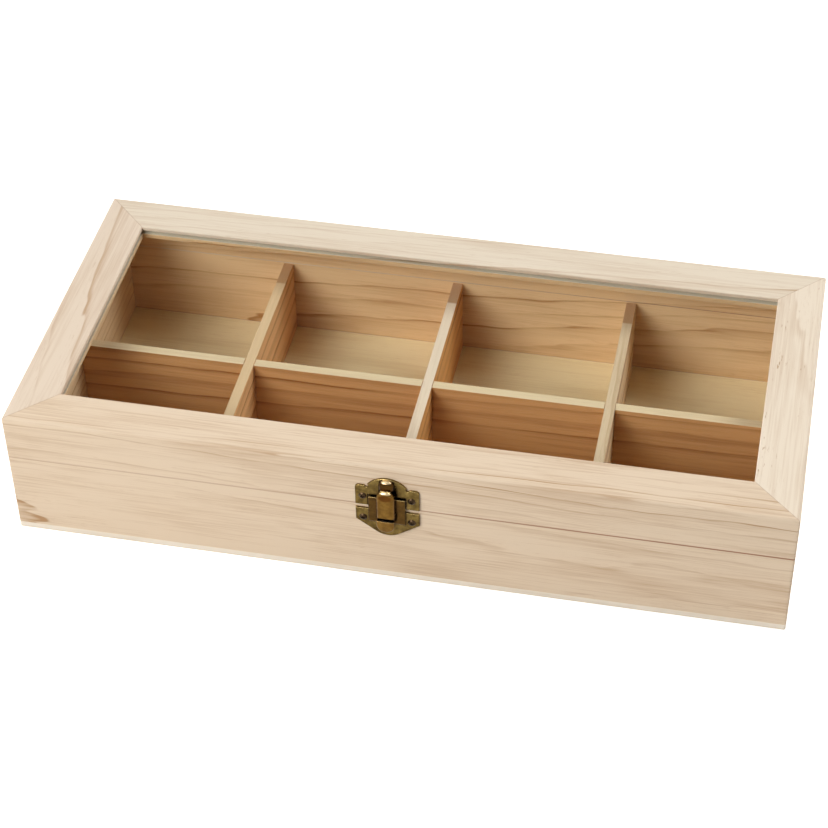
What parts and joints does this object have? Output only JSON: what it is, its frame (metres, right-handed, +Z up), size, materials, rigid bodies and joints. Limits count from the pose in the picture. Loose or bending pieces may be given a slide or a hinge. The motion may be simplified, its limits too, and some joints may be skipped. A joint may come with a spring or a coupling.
{
  "type": "tea bag organizer box",
  "caption": "Flat wooden box with a hinged glass-topped lid, a grid of low dividers that makes compartments for tea bags, and a small sprung clasp in front.",
  "frame": {"origin": "centre of the flat underside", "axes": "+X to the right seen from the clasp, +Y from the clasp to the hinges, +Z up"},
  "size_m": [0.335, 0.1659, 0.0633],
  "materials": {
    "case_wood": "bare planed softwood, fine grain",
    "divider_wood": "bare planed softwood",
    "plywood": "pale sanded plywood",
    "glass": "clear float glass",
    "plate_bronze": "antique bronze plating, stamped",
    "lever_bronze": "antique bronze plating, rubbed bright",
    "screw_bronze": "dark bronze plating",
    "pin_bronze": "dark bronze plating",
    "spring_steel": "drawn wire",
    "nail_steel": "bright nail"
  },
  "bodies": {
    "base": {"bottom_panel": "plywood", "bottom_panel_nails": "nail_steel", "base_front_wall": "case_wood", "base_back_wall": "case_wood", "base_left_wall": "case_wood", "base_right_wall": "case_wood", "long_divider": "divider_wood", "cross_divider_left": "divider_wood", "cross_divider_middle": "divider_wood", "cross_divider_right": "divider_wood", "latch_plate": "plate_bronze", "latch_plate_screws": "screw_bronze", "latch_spring": "spring_steel", "left_hinge_base_leaf": "plate_bronze", "left_hinge_pin": "pin_bronze", "left_hinge_base_screws": "screw_bronze", "right_hinge_base_leaf": "plate_bronze", "right_hinge_pin": "pin_bronze", "right_hinge_base_screws": "screw_bronze"},
    "lid": {"lid_front_rail": "case_wood", "lid_back_rail": "case_wood", "lid_left_rail": "case_wood", "lid_right_rail": "case_wood", "glass_pane": "glass", "catch_plate": "plate_bronze", "catch_plate_screws": "screw_bronze", "left_hinge_lid_leaf": "plate_bronze", "left_hinge_lid_screws": "screw_bronze", "right_hinge_lid_leaf": "plate_bronze", "right_hinge_lid_screws": "screw_bronze"},
    "lever": {"latch_lever": "lever_bronze", "latch_pin": "pin_bronze"}
  },
  "joints": [
    {"name": "lid_hinge", "type": "hinge", "parent": "base", "child": "lid", "pos_m": [0, 0.0786, 0.0415], "axis": [-1, 0, 0], "range_deg": [0, 105]},
    {"name": "lever_press", "type": "hinge", "parent": "base", "child": "lever", "pos_m": [-0.001, -0.08345, 0.041], "axis": [1, 0, 0], "range_deg": [0, 18], "stiffness_Nm_per_rad": 0.01, "springref_deg": -11.46}
  ]
}
